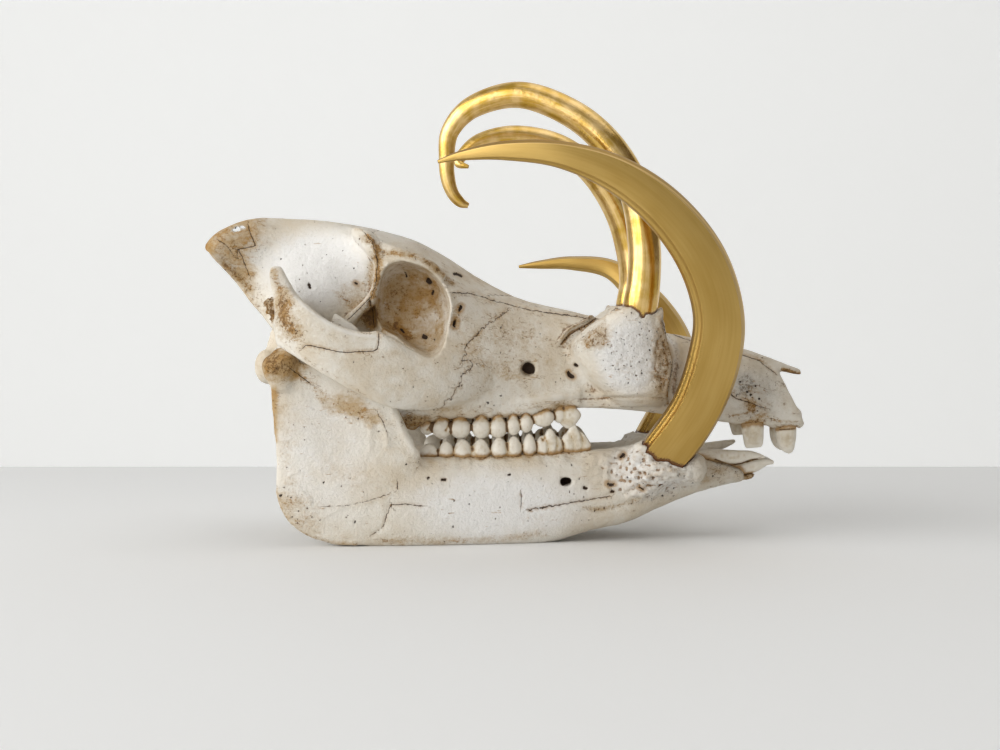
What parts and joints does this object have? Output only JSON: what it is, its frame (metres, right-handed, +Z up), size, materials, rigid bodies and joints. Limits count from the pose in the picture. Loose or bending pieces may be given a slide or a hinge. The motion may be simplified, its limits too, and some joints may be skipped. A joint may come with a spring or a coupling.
{
  "type": "babirusa skull",
  "caption": "Skull of a male babirusa, a wild pig, with its lower jaw, teeth and long curved tusks painted gold, lying on its jaw.",
  "frame": {"origin": "on the table, under the middle of the skull's box", "axes": "+X towards the snout, +Y towards the animal's left, +Z up"},
  "size_m": [0.3002, 0.1644, 0.227],
  "materials": {
    "bone": "bleached dry bone, matte, with ochre and brown stains",
    "bright_gold": "gold paint, glossy and brushed",
    "satin_gold": "gold paint, satin"
  },
  "bodies": {
    "root": {"cranium": "bone", "mandible": "bone", "upper_tusk_right": "bright_gold", "upper_tusk_left": "bright_gold", "lower_tusk_right": "satin_gold", "lower_tusk_left": "satin_gold"}
  },
  "joints": []
}
